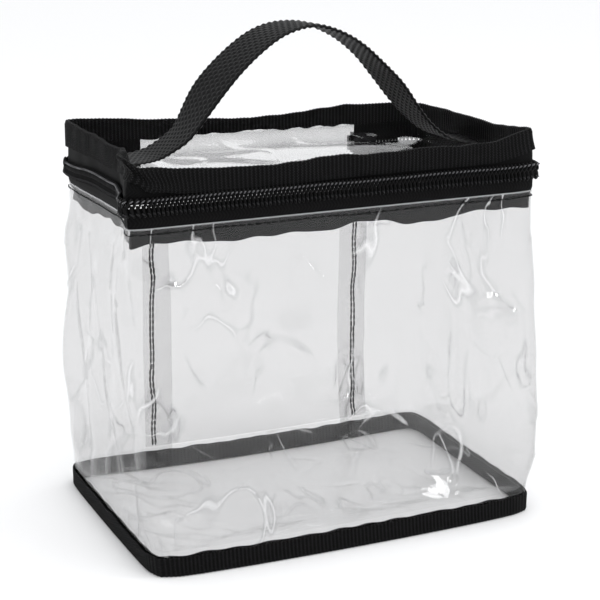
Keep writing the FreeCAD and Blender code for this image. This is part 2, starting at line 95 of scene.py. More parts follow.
# %% [markdown]
# ## The camera, the floor and the light
# A long lens from the left and a little above shows the front and the left side. The floor is
# a plain pale sheet, and soft lamps stand round it: clear vinyl shows its creases only where a
# lamp is mirrored in them, so there is a narrow lamp on each side. The air is white where it
# is looked at straight. What the pieces mirror from the front is dimmer, as in a room with one
# dark side, so that black cloth behind the vinyl stays black.

# %% Camera
azimuth, elevation = math.radians(-23.6), math.radians(15.7)
look_at = Vector((2.4, 0, 86.1)) * mm
camera_distance = 0.6556
backward = Vector((
    math.sin(azimuth) * math.cos(elevation),
    -math.cos(azimuth) * math.cos(elevation),
    math.sin(elevation),
))
lens = bpy.data.cameras.new("studio_camera")
lens.lens, lens.sensor_width = 94.83, 36
camera = bpy.data.objects.new("studio_camera", lens)
bpy.context.scene.collection.objects.link(camera)
camera.location = look_at + backward * camera_distance
camera.rotation_euler = backward.to_track_quat("Z", "Y").to_euler()
bpy.context.scene.camera = camera
print("camera at", [round(x, 3) for x in camera.location])

# %% Lamps, air and how light passes through many clear layers
scene = bpy.context.scene
scene.view_settings.view_transform = "Standard"
scene.cycles.transparent_max_bounces = 48
scene.cycles.use_denoising = True
air = bpy.data.worlds.new("studio_air")
air.use_nodes = True
tree = air.node_tree
toward = tree.nodes.new("ShaderNodeSeparateXYZ")
tree.links.new(tree.nodes.new("ShaderNodeTexCoord").outputs["Generated"], toward.inputs[0])
front_dimmer = tree.nodes.new("ShaderNodeMapRange")
for socket, number in (("From Min", -0.9), ("From Max", 0.3), ("To Min", 0.22), ("To Max", 1.0)):
    front_dimmer.inputs[socket].default_value = number
tree.links.new(toward.outputs["Y"], front_dimmer.inputs["Value"])
ray = tree.nodes.new("ShaderNodeLightPath")
brighter = tree.nodes.new("ShaderNodeMath")
brighter.operation = "MAXIMUM"
tree.links.new(front_dimmer.outputs["Result"], brighter.inputs[0])
tree.links.new(ray.outputs["Is Camera Ray"], brighter.inputs[1])
tree.links.new(brighter.outputs[0], tree.nodes["Background"].inputs["Strength"])
tree.nodes["Background"].inputs["Color"].default_value = (0.98, 0.99, 1.0, 1)
scene.world = air


def lamp(name, place, size, power, aim=(0, 0, 0.08)):
    """A soft rectangular lamp at a place, aimed at the bag."""
    light = bpy.data.lights.new(name, "AREA")
    light.shape, light.size, light.size_y, light.energy = "RECTANGLE", size[0], size[1], power
    stand = bpy.data.objects.new(name, light)
    scene.collection.objects.link(stand)
    stand.location = place
    stand.visible_camera = False
    stand.rotation_euler = (Vector(place) - Vector(aim)).to_track_quat("Z", "Y").to_euler()
    return stand


lamp("top_softbox", (0.25, -0.15, 1.7), (0.9, 0.9), 3.5)
lamp("right_strip", (1.0, -0.55, 0.7), (0.06, 0.6), 1.8)
lamp("low_right_strip", (0.8, -1.3, 0.42), (0.05, 0.6), 1.6)
lamp("left_strip", (-1.05, 0.05, 0.75), (0.06, 0.6), 2.0)
lamp("front_softbox", (-0.5, -1.6, 1.0), (0.2, 0.2), 1.6)
sky = bpy.data.lights.new("even_light", "SUN")
sky.energy, sky.angle = 1.1, math.radians(60)
sun = bpy.data.objects.new("even_light", sky)
scene.collection.objects.link(sun)
sun.rotation_euler = (math.radians(18), math.radians(14), 0)

# %% [markdown]
# ## Making finishes
# A finish is a small tree of shader nodes. `new_finish` starts one, and `put` adds a node,
# fills its sockets with numbers or links other nodes to them, and gives its output back.

# %% Helpers for finishes
def new_finish(name):
    """A new material with only its output node, and the function that adds nodes to it."""
    finish = bpy.data.materials.new(name)
    finish.use_nodes = True
    tree = finish.node_tree
    for old in list(tree.nodes):
        tree.nodes.remove(old)
    out = tree.nodes.new("ShaderNodeOutputMaterial")

    def put(kind, sockets=None, output=0, **settings):
        node = tree.nodes.new("ShaderNode" + kind)
        for key, value in settings.items():
            setattr(node, key, value)
        for key, value in (sockets or {}).items():
            if isinstance(value, bpy.types.NodeSocket):
                tree.links.new(value, node.inputs[key])
            else:
                node.inputs[key].default_value = value
        return node.outputs[output]

    def show(shader):
        tree.links.new(shader, out.inputs["Surface"])
        return finish

    return put, show


def maths(put, operation, a, b=0.0, c=0.0):
    """One Math node."""
    return put("Math", {0: a, 1: b, 2: c}, operation=operation)


def ramp(put, value, low, high, from_low, from_high):
    """A value stretched from one span to another, and kept inside it."""
    return put("MapRange", {
        "Value": value, "From Min": low, "From Max": high, "To Min": from_low, "To Max": from_high,
    })


def shade(put, share, dark, light):
    """A colour between two others."""
    return put("MixRGB", {0: share, 1: (*dark, 1), 2: (*light, 1)})


def stretched(put, uv, along=1000, across=1000):
    """The cloth's own map, stretched. A thousand times gives millimetres."""
    return put("VectorMath", {0: uv, 1: (along, across, 0)}, operation="MULTIPLY")


def cloth_axes(put):
    """The cloth's own axes in millimetres, along the strip and across it, and its map."""
    uv = put("UVMap", uv_map="cloth")
    split = put("SeparateXYZ", {0: stretched(put, uv)}).node
    return split.outputs[0], split.outputs[1], uv


def wave(put, value):
    """A cosine of a value in radians."""
    return put("Math", {0: value}, operation="COSINE")


# %% [markdown]
# ### Floor
# The floor is plain and pale. A trace of unevenness keeps it from looking like paper.

# %% Floor
def floor_finish():
    put, show = new_finish("pale_floor")
    grain = put("TexNoise", {"Scale": 3.0, "Detail": 4.0})
    uneven = ramp(put, grain, 0.3, 0.7, 0, 1)
    tint = shade(put, uneven, (0.90, 0.90, 0.905), (0.93, 0.93, 0.935))
    return show(put("BsdfPrincipled", {
        "Base Color": tint, "Roughness": 0.75, "Specular IOR Level": 0.15,
    }))


bpy.ops.object.select_all(action="DESELECT")
bpy.ops.mesh.primitive_plane_add(size=16, location=(0, 0, -0.0002))
floor = bpy.context.object
floor.name = "floor"
bpy.ops.object.transform_apply(location=True, rotation=True, scale=True)
floor.data.materials.append(floor_finish())
print("floor laid")

# %% [markdown]
# ### Clear vinyl
# Soft vinyl lets most light straight through, mirrors lamps on both faces, and looks greyer
# where it is seen edge on, because the light's way through it is longer. A see-through
# shader mixed with a mirror does just that, and lets light reach what is inside. The share
# of mirror rises with the fifth power of the slant, as Schlick's rule has it: Blender's own
# Fresnel node takes a ray that leaves a sheet for one inside thick glass, and goes black.
# Fine creases come from noise in the sheet's own axes. Along their lines the tint is darkened with
# painted shade, and the mirror share is raised into painted glints. The bare cut edge carries a milky
# band of painted light.

# %% Clear vinyl
least_mirror = 0.021  # of each face, seen straight on


def vinyl_finish(name, wrinkle=1.0, cut_edge=None, tint=(0.908, 0.907, 0.907)):
    put, show = new_finish(name)
    _, across, uv = cloth_axes(put)
    millimetres = stretched(put, uv)
    swell = put("TexNoise", {
        "Vector": millimetres, "Scale": 0.045, "Detail": 3.0, "Roughness": 0.45, "Distortion": 0.6,
    })
    folds = put("TexNoise", {
        "Vector": stretched(put, uv, across=520),
        "Scale": 0.03, "Detail": 2.5, "Roughness": 0.4, "Distortion": 1.3,
    })
    ridge = maths(put, "ABSOLUTE", maths(put, "SUBTRACT", folds, 0.5))
    patches = put("TexNoise", {"Vector": millimetres, "Scale": 0.024, "Detail": 1.0})
    patch = ramp(put, patches, 0.49, 0.60, 0.0, 1.0)
    crease = maths(put, "MULTIPLY", ramp(put, ridge, 0.0, 0.03, 1.0, 0.0), patch)
    bright_line = maths(put, "MULTIPLY", ramp(put, ridge, 0.0, 0.011, 1.0, 0.0), patch)
    height = maths(put, "ADD", swell, maths(put, "MULTIPLY", crease, 0.3))
    bump = put("Bump", {"Height": height, "Strength": 0.4, "Distance": 0.0012 * wrinkle})
    facing = put("LayerWeight", {"Blend": 0.5, "Normal": bump}, output="Facing")
    thick = ramp(put, maths(put, "POWER", facing, 3.0), 0.0, 1.0, 0.0, 0.18)
    # the crease lines darken the see-through tint, and the see-through grey takes that on: painted
    # shade that stands in for refraction at the creases
    painted_crease_shade = maths(put, "MULTIPLY", crease, 0.3 * min(wrinkle, 1))
    thick = maths(put, "MAXIMUM", thick, painted_crease_shade)
    clear = put("BsdfTransparent", {"Color": shade(put, thick, tint, (0.62, 0.62, 0.63))})
    mirror = put(
        "BsdfAnisotropic",
        {"Color": (1, 1, 1, 1), "Roughness": 0.03, "Normal": bump},
        distribution="BECKMANN",
    )
    share = maths(put, "MULTIPLY_ADD", maths(put, "POWER", facing, 5.0), 0.5, least_mirror)
    # the crease lines raise the mirror share: painted glints
    glint = maths(put, "MULTIPLY", bright_line, 0.4 * min(wrinkle, 1))
    share = maths(put, "MAXIMUM", share, glint)
    glassy = put("MixShader", {0: share, 1: clear, 2: mirror})
    if cut_edge is None:
        return show(glassy)
    # a milky grey band along the cut edge: painted light for the light that the edge catches from above
    painted_edge_light = put("BsdfPrincipled", {
        "Base Color": (0.75, 0.76, 0.78, 1), "Roughness": 0.25, "Specular IOR Level": 0.6,
    })
    near = ramp(put, maths(put, "SUBTRACT", cut_edge, across), 0.25, 0.8, 0.34, 0.0)
    return show(put("MixShader", {0: near, 1: glassy, 2: painted_edge_light}))


# %% [markdown]
# ### Ribbed ribbon
# Grosgrain has a cord every 1.6 mm, and fine threads lie across each cord like ladder rungs.
# The cords are real shape, and the rungs are bump: they are too fine to model. The tops of both are
# coloured lighter, a painted highlight.

# %% Ribbed ribbon
rib_pitch = 1.6  # millimetres


def ribbon_finish():
    put, show = new_finish("black_grosgrain")
    along, across, uv = cloth_axes(put)
    rib = wave(put, maths(put, "MULTIPLY", along, math.tau / rib_pitch))
    row = maths(put, "FLOOR", maths(put, "DIVIDE", along, rib_pitch))
    odd = maths(put, "MULTIPLY", maths(put, "FLOORED_MODULO", row, 2.0), 0.5)
    rung = wave(put, maths(put, "MULTIPLY", maths(put, "ADD", across, odd), math.tau))
    fuzz = put("TexNoise", {"Vector": stretched(put, uv), "Scale": 2.2, "Detail": 3.0})
    rungs = maths(put, "MULTIPLY", rung, ramp(put, rib, -1, 1, 0.2, 1))
    height = maths(
        put, "ADD", maths(put, "MULTIPLY", rungs, 0.5), maths(put, "MULTIPLY", fuzz, 0.5)
    )
    bump = put("Bump", {"Height": height, "Strength": 0.8, "Distance": 0.0003})
    # cord tops and rungs are lighter: a painted highlight on the black ribbon
    light = maths(put, "MULTIPLY", ramp(put, rung, -0.1, 0.9, 0, 1), ramp(put, rib, -0.1, 0.9, 0, 1))
    tint = shade(put, light, (0.0006, 0.0006, 0.0007), (0.021, 0.021, 0.0225))
    return show(put("BsdfPrincipled", {
        "Base Color": tint, "Roughness": ramp(put, fuzz, 0.3, 0.7, 0.55, 0.75), "IOR": 1.2,
        "Sheen Weight": 0.006, "Sheen Roughness": 0.5, "Normal": bump,
    }))


# %% [markdown]
# ### Zip tape, nylon and thread
# The tape is woven in a fine herringbone, its thread crests painted lighter as a highlight. The coil is
# smooth nylon with a soft gloss, and the sewing thread is twisted, with a slight shine and painted
# sheen along its twist.

# %% Zip tape
stripe_width, thread_pitch = 2.6, 1.3  # of the herringbone, in millimetres


def tape_finish():
    put, show = new_finish("black_herringbone_tape")
    along, across, uv = cloth_axes(put)
    stripe = maths(put, "PINGPONG", across, stripe_width)
    leaning = maths(put, "ADD", along, stripe)
    slant = wave(put, maths(put, "MULTIPLY", leaning, math.tau / thread_pitch))
    fuzz = put("TexNoise", {"Vector": stretched(put, uv), "Scale": 2.6, "Detail": 3.0})
    bump = put("Bump", {"Height": slant, "Strength": 0.25, "Distance": 0.00006})
    # the thread crests are lighter: a painted highlight that draws the herringbone
    light = ramp(put, slant, -0.4, 1, 0, 1)
    tint = shade(put, light, (0.0012, 0.0012, 0.0013), (0.0042, 0.0042, 0.0045))
    return show(put("BsdfPrincipled", {
        "Base Color": tint, "Roughness": ramp(put, fuzz, 0.3, 0.7, 0.66, 0.76), "IOR": 1.2,
        "Sheen Weight": 0.004, "Normal": bump,
    }))


# %% Nylon, thread and metal
def nylon_finish():
    put, show = new_finish("black_nylon_coil")
    place = put("TexCoord", output="Object")
    grain = put("TexNoise", {"Vector": place, "Scale": 900.0, "Detail": 2.0})
    bump = put("Bump", {"Height": grain, "Strength": 0.2, "Distance": 0.00005})
    tint = shade(put, grain, (0.002, 0.002, 0.0022), (0.006, 0.006, 0.0065))
    return show(put("BsdfPrincipled", {
        "Base Color": tint, "Roughness": ramp(put, grain, 0.3, 0.7, 0.45, 0.55),
        "Specular IOR Level": 0.12, "Normal": bump,
    }))


def thread_finish(name, dark, light, rough, gloss=0.1):
    put, show = new_finish(name)
    place = put("TexCoord", output="Object")
    sockets = {"Vector": place, "Scale": 900.0, "Distortion": 1.5, "Detail": 1.0}
    twist = put("TexWave", sockets, bands_direction="DIAGONAL")
    bump = put("Bump", {"Height": twist, "Strength": 0.5, "Distance": 0.0001})
    # the colour is lighter along the twist's bands: painted sheen
    return show(put("BsdfPrincipled", {
        "Base Color": shade(put, twist, dark, light), "Roughness": rough,
        "Specular IOR Level": gloss, "Sheen Weight": 0.01, "Normal": bump,
    }))


def metal_finish():
    put, show = new_finish("black_painted_metal")
    place = put("TexCoord", output="Object")
    orange_peel = put("TexNoise", {"Vector": place, "Scale": 700.0, "Detail": 2.0})
    wear = put("TexNoise", {"Vector": place, "Scale": 260.0, "Detail": 5.0, "Roughness": 0.7})
    scuff = ramp(put, wear, 0.62, 0.74, 0.0, 1.0)
    bump = put("Bump", {"Height": orange_peel, "Strength": 0.15, "Distance": 0.0001})
    tint = shade(put, scuff, (0.012, 0.012, 0.013), (0.05, 0.05, 0.052))
    return show(put("BsdfPrincipled", {
        "Base Color": tint, "Roughness": ramp(put, scuff, 0, 1, 0.22, 0.45), "Metallic": 0.3,
        "Coat Weight": 0.6, "Coat Roughness": 0.15, "Normal": bump,
    }))


# %% [markdown]
# ### Webbing
# The handle's webbing is a coarse plain weave, with about ten cords side by side. The weave
# is real shape. The finish darkens the dips with painted shade and adds the fine lie of the fibres.

# %% Webbing
def webbing_finish():
    put, show = new_finish("black_webbing")
    fibres = stretched(put, put("UVMap", uv_map="cloth"), 500, 5000)
    fibre = put("TexNoise", {"Vector": fibres, "Scale": 1.0, "Detail": 2.0})
    dip = put("Attribute", attribute_name="weave_height", output="Fac")
    bump = put("Bump", {"Height": fibre, "Strength": 0.5, "Distance": 0.00012})
    # the weave's dips are darker: painted shade in the recesses
    light = maths(put, "MULTIPLY", ramp(put, dip, 0.2, 1, 0, 1), ramp(put, fibre, 0.3, 0.7, 0.6, 1))
    tint = shade(put, light, (0.0003, 0.0003, 0.0004), (0.0065, 0.0065, 0.0072))
    return show(put("BsdfPrincipled", {
        "Base Color": tint, "Roughness": ramp(put, fibre, 0.3, 0.7, 0.36, 0.55), "IOR": 1.22,
        "Sheen Weight": 0.002, "Normal": bump,
    }))


ribbon = ribbon_finish()
tape = tape_finish()
nylon = nylon_finish()
black_thread = thread_finish("black_thread", (0.003, 0.003, 0.0035), (0.012, 0.012, 0.013), 0.6)
# the same black thread, with its sheen painted in as a light grey colour
sheen_painted_thread = thread_finish("sheen_painted_thread", (0.03, 0.03, 0.033), (0.17, 0.17, 0.18), 0.4, 0.5)
metal = metal_finish()
webbing = webbing_finish()
print("finishes:", len(bpy.data.materials))

# %% [markdown]
# ## Sewing flat pieces round the bag
# A real maker cuts every strip flat and sews it round the box. The same is done here: a piece
# is modelled flat, with X along the run, Y into the bag and Z up, as the front panel hangs.
# Run 0 is the middle of the front and plus goes to the right. `sew_round` then bends the piece
# round the four corners, and `settle` gives it the slump that the whole soft bag shares, so
# neighbours stay together.

# %% Helpers for pieces
def only(piece):
    """Selects one piece and lets everything else go."""
    bpy.ops.object.select_all(action="DESELECT")
    piece.hide_set(False)
    piece.select_set(True)
    bpy.context.view_layer.objects.active = piece


def apply_all(piece):
    """Applies a piece's modifiers, top first."""
    only(piece)
    for modifier in list(piece.modifiers):
        bpy.ops.object.modifier_apply(modifier=modifier.name)


def places(piece):
    """A piece's points as rows of x, y, z."""
    flat = np.empty(len(piece.data.vertices) * 3)
    piece.data.vertices.foreach_get("co", flat)
    return flat.reshape(-1, 3)


def move_to(piece, points):
    """Puts a piece's points where the rows say."""
    piece.data.vertices.foreach_set("co", np.ascontiguousarray(points, float).ravel())
    piece.data.update()


def mark_cloth(piece, axes=(0, 2)):
    """Keeps two of the flat piece's own axes as its UV map, so that the weave follows it."""
    points = places(piece)
    corners = np.empty(len(piece.data.loops), int)
    piece.data.loops.foreach_get("vertex_index", corners)
    while piece.data.uv_layers:
        piece.data.uv_layers.remove(piece.data.uv_layers[0])
    layer = piece.data.uv_layers.new(name="cloth")
    layer.data.foreach_set("uv", points[corners][:, list(axes)].ravel())


def turn_over(piece):
    """Turns all of a piece's faces to look the other way."""
    only(piece)
    bpy.ops.object.mode_set(mode="EDIT")
    bpy.ops.mesh.select_all(action="SELECT")
    bpy.ops.mesh.flip_normals()
    bpy.ops.object.mode_set(mode="OBJECT")


def flat_strip(name, run, height, steps, depth=0.0):
    """A flat strip standing like the front panel: its span along X, its span up Z."""
    bpy.ops.object.select_all(action="DESELECT")
    bpy.ops.mesh.primitive_grid_add(
        x_subdivisions=steps[0], y_subdivisions=steps[1], size=1, rotation=(math.pi / 2, 0, 0),
        location=(sum(run) / 2, depth, sum(height) / 2),
    )
    piece = bpy.context.object
    piece.name = piece.data.name = name
    piece.scale = (run[1] - run[0], height[1] - height[0], 1)
    bpy.ops.object.transform_apply(location=True, rotation=True, scale=True)
    mark_cloth(piece)
    return piece


def give_thickness(piece, thickness, inward=True):
    """Makes a closed sheet from a surface: the first face stays, and the other lies behind it."""
    solid = piece.modifiers.new("thickness", "SOLIDIFY")
    solid.thickness, solid.offset = thickness, -1 if inward else 0
    solid.use_even_offset = False
    apply_all(piece)


def smoothly(value, low, high):
    """0 below low, 1 above high, and a smooth rise between them."""
    t = np.clip((np.asarray(value, float) - low) / (high - low), 0, 1)
    return t * t * (3 - 2 * t)


def ripple(u, v, length, seed, waves=9):
    """A smooth random swell between about -1 and 1. Its bumps are about a length apart."""
    dice = np.random.default_rng(seed)
    total = np.zeros(np.broadcast(u, v).shape)
    for _ in range(waves):
        way, phase, pace = dice.uniform(0, math.tau), dice.uniform(0, math.tau), dice.uniform(0.6, 1.4)
        path = u * math.cos(way) + v * math.sin(way)
        total += np.sin(math.tau * pace / length * path + phase)
    return total / math.sqrt(waves)


print("helpers ready")

# %% Round the box, and down into its slump
def round_box(run, depth):
    """Where a point of the flat strip lies in plan, after the strip went round the corners."""
    side, r = np.where(run < 0, -1.0, 1.0), np.abs(run)
    stops = np.cumsum([front_half, arc, side_run, arc])
    first, second = (r - stops[0]) / corner, (r - stops[2]) / corner
    angle = np.clip(np.where(r < stops[1], first, second), 0, math.pi / 2)
    # the corners of soft stock are a little sharper than an arc
    sharper = np.where(r < stops[1], 0.55, 0.4) * (1 / np.maximum(np.cos(angle), np.sin(angle)) - 1)
    inner = (corner - depth) * (1 + sharper)
    stretches = [r <= stop for stop in stops]
    x = np.select(
        stretches,
        [
            r,
            front_half + inner * np.sin(first),
            half_width - depth + 0 * r,
            front_half + inner * np.cos(second),
        ],
        front_half - (r - stops[3]),
    )
    y = np.select(
        stretches,
        [
            depth - half_depth,
            -half_depth + corner - inner * np.cos(first),
            -half_depth + corner + (r - stops[1]),
            half_depth - corner + inner * np.sin(second),
        ],
        half_depth - depth,
    )
    return x * side, y


top_slump = {  # how far each top corner of the soft bag stands from the stiff box
    (-1, -1): (-5.4, 5.2, 0.8),
    (1, -1): (2.0, 5.2, 1.6),
    (-1, 1): (1.2, 0.0, 0.6),
    (1, 1): (3.0, 0.0, 0.0),
}
base_slump = {  # how far each foot spreads sideways and to the back
    (-1, -1): (1.0, -3.0),
    (1, -1): (1.6, -3.2),
    (-1, 1): (-1.6, 3.0),
    (1, 1): (4.0, 2.0),
}
rim_dips = (  # where along the front rim, and how far it stands up there, in millimetres
    [-82, -79, -75, -62, -45, -25, 0, 25, 50, 65, 82],
    [2.4, 0.6, -2.4, -4.2, -5.0, -4.8, -3.6, -3.4, -3.6, -3.2, 0.6],
)
back_dips = ([-82, -70, -40, 0, 25, 45, 70, 82], [0.6, 0.2, -1.6, -4.0, -2.4, -0.5, -1.2, -1.8])
side_dips = ([-53, -40, -15, 20, 45, 53], [0.0, -1.6, -2.7, -2.0, -0.8, 0.0])
left_pinch = ([-53, -48, -38, -22, 5, 30, 53], [0.0, 0.8, 4.4, 6.5, 4.4, 1.6, 0.0])


def bow(value, half):
    """1 in the middle of a side and 0 at its ends."""
    return np.clip(1 - (value / half) ** 2, 0, 1)


def settle(points):
    """The whole bag's slump: the front leans back, the base spreads, and the rim dips."""
    x, y, z = points.T
    across = np.clip((x / half_width + 1) / 2, 0, 1)
    back = np.clip((y / half_depth + 1) / 2, 0, 1)
    high = smoothly(z, 0.0, rim_top) * 0.5 + np.clip(z / rim_top, 0, 1) * 0.5
    low = (1 - np.clip(z / (120 * mm), 0, 1)) ** 2
    moved = points.copy()
    for (right, rear), shift in top_slump.items():
        weight = (across if right > 0 else 1 - across) * (back if rear > 0 else 1 - back)
        spread = base_slump[(right, rear)]
        moved += (weight * high)[:, None] * np.array(shift) * mm
        moved[:, 0] += weight * low * spread[0] * mm
        moved[:, 1] += weight * low * spread[1] * mm
    near_left = 1 - smoothly(x, -half_width, -38 * mm)
    near_right = smoothly(x, 38 * mm, half_width)
    front, rear = 1 - smoothly(y, -half_depth, -18 * mm), smoothly(y, 18 * mm, half_depth)
    # the foot: its sides draw in between the corners
    foot = (1 - np.clip(z / (70 * mm), 0, 1)) ** 2
    moved[:, 0] += foot * bow(y, half_depth) * (-0.8 * near_right - 0.6 * near_left) * mm
    moved[:, 1] += foot * bow(x, half_width) * (-4.5 * rear - 2.4 * front) * mm
    nip = (np.abs(x) / half_width) ** 10 * (np.abs(y) / half_depth) ** 10 * foot
    moved[:, :2] -= (np.sign(points[:, :2]).T * nip * 1.8 * mm).T
    # the rim: it dips between the corners
    above = smoothly(z, 143.5 * mm, 149.5 * mm)
    moved[:, 2] += above * front * np.interp(x / mm, *rim_dips) * mm
    moved[:, 2] += above * rear * np.interp(x / mm, *back_dips) * mm * smoothly(z, 149 * mm, 156 * mm)
    moved[:, 2] += above * near_right ** 2 * np.interp(y / mm, *side_dips) * mm
    # the zip: it rides up at the front and the sides
    lift = smoothly(z, wall_top, chain - 2 * mm) * (1 - smoothly(z, chain + 4 * mm, lid_level + 3 * mm))
    moved[:, 2] += lift * (1 - smoothly(y, 5 * mm, 42 * mm)) * 1.9 * mm
    # the left side is pinched in, and the ribbon folds at the front left corner
    moved[:, 0] += near_left * smoothly(z, 100 * mm, 136 * mm) * np.interp(y / mm, *left_pinch) * mm
    fold = np.exp(-(((z - 151.5 * mm) / (3.5 * mm)) ** 2)) * 3.0 - 1.5 * smoothly(z, 153 * mm, rim_top)
    moved[:, 0] += fold * near_left ** 3 * front ** 2 * mm
    moved[:, 0] -= smoothly(z, 146 * mm, rim_top) * near_right ** 2 * front * 1.6 * mm
    return moved


def sew_round(piece):
    """Bends a flat piece round the box and lets it settle."""
    points = places(piece)
    x, y = round_box(points[:, 0], points[:, 1])
    move_to(piece, settle(np.column_stack([x, y, points[:, 2]])))
    bpy.ops.object.select_all(action="DESELECT")


def finish_piece(piece, finish, smooth=60):
    """Gives a piece its material and its smooth shading, and prints its size."""
    piece.data.materials.clear()
    piece.data.materials.append(finish)
    only(piece)
    bpy.ops.object.shade_smooth_by_angle(angle=math.radians(smooth))
    bpy.ops.object.select_all(action="DESELECT")
    triangles = sum(len(face.vertices) - 2 for face in piece.data.polygons)
    print(piece.name, "points", len(piece.data.vertices), "triangles", triangles)


print("the middle of the back lies at", round_box(np.array([half_round]), 0.0))

# %% [markdown]
# ## The clear wall
# One sheet goes round the left, the front and the right, and both its ends lap onto the back.
# Vinyl that was folded for the post keeps long soft swells and a few sharp creases. Cloth
# simulation makes it hang like fabric, which is too limp, so the swells are made with summed
# waves and the creases with the thin lines where another set of waves crosses zero.

# %% How the vinyl is crumpled
def crumple(run, height):
    """How far the vinyl stands out from the flat wall, from creases and swells."""
    free = smoothly(height, 9 * mm, 26 * mm) * (1 - smoothly(height, 112 * mm, 126 * mm))
    swell = 1.5 * ripple(run, height * 0.6, 95 * mm, 3) + 0.35 * ripple(run, height, 30 * mm, 8)
    left_side = 1 - smoothly(run, -front_half - arc, -front_half + 6 * mm)
    swell += 1.1 * left_side * ripple(run, height * 0.35, 21 * mm, 44)
    lines = ripple(run, height * 0.55, 62 * mm, 21)
    strength = 0.4 + 0.6 * smoothly(ripple(run, height, 50 * mm, 5), -0.4, 0.8)
    sharp = np.exp(-((lines / 0.07) ** 2)) * strength
    small = ripple(run, height * 0.8, 26 * mm, 34)
    pinch = np.exp(-((small / 0.09) ** 2)) * smoothly(ripple(run, height, 70 * mm, 12), 0.5, 1.2)
    bulge = 2.0 * np.exp(-(((run - front_half - arc / 2) / (16 * mm)) ** 2))
    bulge += 2.2 * np.exp(-(((run + side_end + arc / 2) / (16 * mm)) ** 2))
    return free * (swell + bulge - 0.7 * sharp + 0.55 * pinch) * mm


wall_left, wall_right = half_round - 37 * mm, half_round - 43.5 * mm  # its ends on the back
wall_vinyl = vinyl_finish("clear_wall_vinyl", cut_edge=wall_top * 1000)
wall = flat_strip("wall_sheet", (-wall_left, wall_right), (1.2 * mm, wall_top), (380, 112))
points = places(wall)
points[:, 1] = -crumple(points[:, 0], points[:, 2]) + gap
move_to(wall, points)
sew_round(wall)
give_thickness(wall, vinyl_thick)
finish_piece(wall, wall_vinyl, 80)
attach(wall, "bag")
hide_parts("wall_wrap_panel")

# %% [markdown]
# ## The back panel and its hinge
# The back is a sheet of its own, sewn behind the wall's two ends. Between the zip's tails it
# runs on up to the lid and is the lid's hinge. It is one sheet from the base to the lid.

# %% Back panel
back_half = 49 * mm
plain_vinyl = vinyl_finish("clear_vinyl")
back = flat_strip("back_sheet", (-back_half, back_half), (10.4 * mm, rim_top - 1.6 * mm), (66, 110))
points = places(back)
run = half_round - points[:, 0]
behind = 1 - smoothly(points[:, 2], wall_top - 0.5 * mm, wall_top + 3.0 * mm)
wider = 1 + 0.15 * behind * smoothly(points[:, 0], 0, back_half)
depth = half_depth - behind * (sheet_thick + 0.1 * mm) + crumple(run, points[:, 2])
move_to(back, settle(np.column_stack([points[:, 0] * wider, depth, points[:, 2]])))
turn_over(back)
give_thickness(back, vinyl_thick)
finish_piece(back, plain_vinyl, 80)
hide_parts("back_panel", "lid_hinge_flap")
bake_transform(back)

# %% [markdown]
# ## The floor of the bag and the lid
# Both are one flat sheet with rounded corners, sewn in at a ribbon's height from the rim. The
# vinyl is a little too large for its frame, so it sags and puckers. A grid is trimmed to the
# rounded outline by pulling its outer points in, and then sagged.

# %% Two sheets with rounded corners
tiny = 1e-9  # keeps a division from meeting zero
seam_inset = 1.1 * mm  # from the outline to where the two sheets end


def rounded_sheet(name, level, steps, inset=seam_inset):
    """A level grid whose outer points are pulled in to the box's rounded corners."""
    bpy.ops.object.select_all(action="DESELECT")
    bpy.ops.mesh.primitive_grid_add(
        x_subdivisions=steps[0], y_subdivisions=steps[1], size=2, location=(0, 0, level)
    )
    piece = bpy.context.object
    piece.name = piece.data.name = name
    bpy.ops.object.transform_apply(location=True, rotation=True, scale=True)
    points = places(piece)
    across, back, radius = half_width - inset, half_depth - inset, corner - inset
    u, v = points[:, 0], points[:, 1]
    ring = np.maximum(np.abs(u), np.abs(v))
    outline_x = np.where(ring > 0, u / np.maximum(ring, tiny), 0) * across
    outline_y = np.where(ring > 0, v / np.maximum(ring, tiny), 0) * back
    over_x = np.maximum(np.abs(outline_x) - (across - radius), 0)
    over_y = np.maximum(np.abs(outline_y) - (back - radius), 0)
    far = np.hypot(over_x, over_y)
    pull = np.where(far > radius, radius / np.maximum(far, tiny), 1.0)
    edge_x = np.sign(outline_x) * (np.abs(outline_x) - over_x * (1 - pull))
    edge_y = np.sign(outline_y) * (np.abs(outline_y) - over_y * (1 - pull))
    points[:, 0], points[:, 1] = edge_x * ring, edge_y * ring
    move_to(piece, points)
    mark_cloth(piece, (0, 1))
    bpy.ops.object.select_all(action="DESELECT")
    return piece


def edge_distance(points, inset=seam_inset):
    """How far a point of a level sheet is from the nearest wall."""
    to_side = half_width - inset - np.abs(points[:, 0])
    return np.minimum(to_side, half_depth - inset - np.abs(points[:, 1]))


# %% Floor sheet and lid sheet
bottom_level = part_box("bottom_panel")[1].z
bottom = rounded_sheet("bottom_sheet", bottom_level, (130, 90))
points = places(bottom)
x, y = points[:, 0].copy(), points[:, 1].copy()
inside = smoothly(edge_distance(points), 0.5 * mm, 26 * mm)
puckers = 1 - smoothly(x, -70 * mm, -35 * mm)
sharp = ripple(x * 0.7, y, 34 * mm, 51)
left_folds = ripple(x * 1.3 + y * 0.6, y, 15 * mm, 77)
rise = -4.6 * inside + inside * 0.8 * ripple(x, y, 60 * mm, 40)
rise -= 0.7 * inside * np.exp(-((sharp / 0.09) ** 2))
rise += smoothly(edge_distance(points), 0, 5 * mm) * puckers * 1.3 * left_folds
points[:, 2] += np.minimum(rise, 3.0) * mm
points[:, 2] = np.maximum(points[:, 2], 0.9 * mm)  # never through the ground
move_to(bottom, settle(points))
give_thickness(bottom, vinyl_thick)
# tinted lighter than the wall's vinyl, which is the same sheet: painted light that offsets the shade
# under the bag
floor_vinyl = vinyl_finish("clear_floor_vinyl", wrinkle=1.6, tint=(0.99, 0.99, 0.99))
finish_piece(bottom, floor_vinyl, 80)
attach(bottom, "bag")
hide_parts("bottom_panel")

